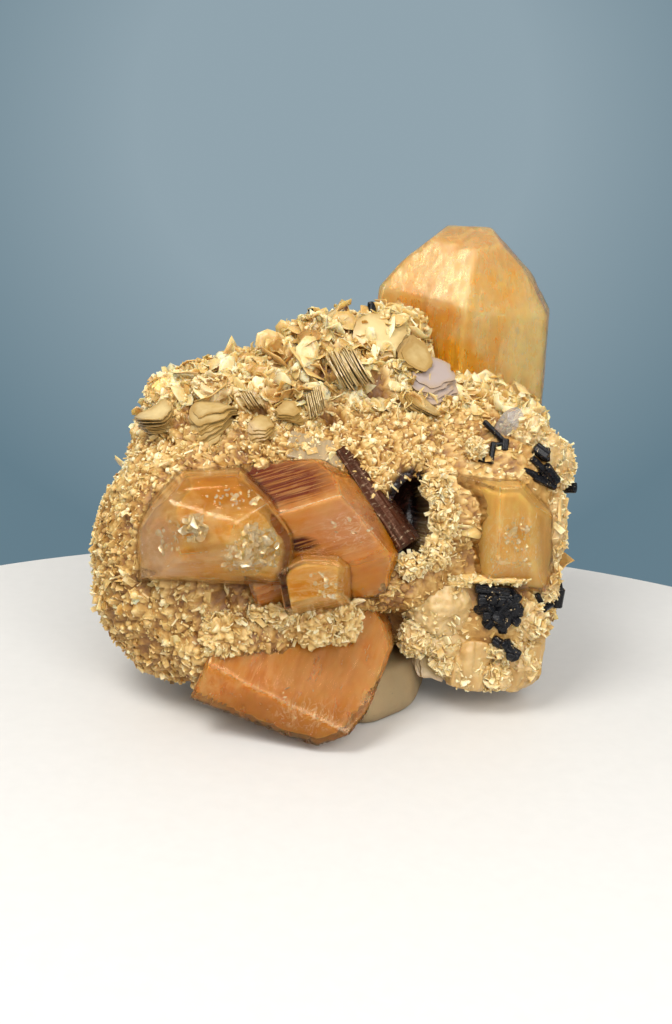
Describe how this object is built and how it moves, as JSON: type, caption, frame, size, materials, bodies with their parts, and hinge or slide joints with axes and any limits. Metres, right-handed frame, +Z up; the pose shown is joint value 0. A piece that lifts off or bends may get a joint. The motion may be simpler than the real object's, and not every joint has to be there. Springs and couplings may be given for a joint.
{
  "type": "topaz crystal",
  "caption": "Orange topaz crystals grown on a lump of sugary albite with mica and black tourmaline, held upright on a pad of display putty.",
  "frame": {"origin": "on the flat underside of the display putty, where the piece stands on its surface", "axes": "+Z up, -Y towards the side that shows the large front crystals, +X to that side's right"},
  "size_m": [0.0624, 0.0536, 0.0592],
  "materials": {
    "topaz": "vitreous, hazy, striated",
    "topaz_pale": "vitreous, hazy, striated",
    "smoky_quartz": "vitreous, dark",
    "quartz": "vitreous, clear",
    "schorl": "glossy black, striated",
    "mica": "pearly, in thin sheets",
    "lepidolite": "pearly, in thin sheets",
    "feldspar": "pearly to glassy, translucent",
    "albite": "sugary grains",
    "putty": "dull, soft"
  },
  "bodies": {
    "root": {"albite_crust": "albite", "albite_glassy": "feldspar", "albite_tuft": "albite", "cleavage_plate": "feldspar", "display_putty": "putty", "feldspar_corner": "feldspar", "feldspar_lower": "feldspar", "feldspar_white": "feldspar", "feldspar_yellow": "feldspar", "lepidolite": "lepidolite", "matrix": "albite", "mica_amber": "mica", "mica_brown": "mica", "mica_fold": "mica", "mica_gold": "mica", "mica_left": "mica", "mica_olive": "mica", "mica_ridge_plate": "mica", "mica_rust": "mica", "mica_small": "mica", "mica_tan": "mica", "mica_upright": "mica", "quartz_point": "quartz", "schorl_edge": "schorl", "schorl_foot": "schorl", "schorl_knob_right": "schorl", "schorl_knob_top": "schorl", "schorl_mass": "schorl", "schorl_needles": "schorl", "schorl_ridge": "schorl", "schorl_rim": "schorl", "schorl_spray": "schorl", "smoky_quartz": "smoky_quartz", "topaz_front_group": "topaz", "topaz_lower": "topaz", "topaz_right": "topaz_pale", "topaz_tall": "topaz"}
  },
  "joints": []
}
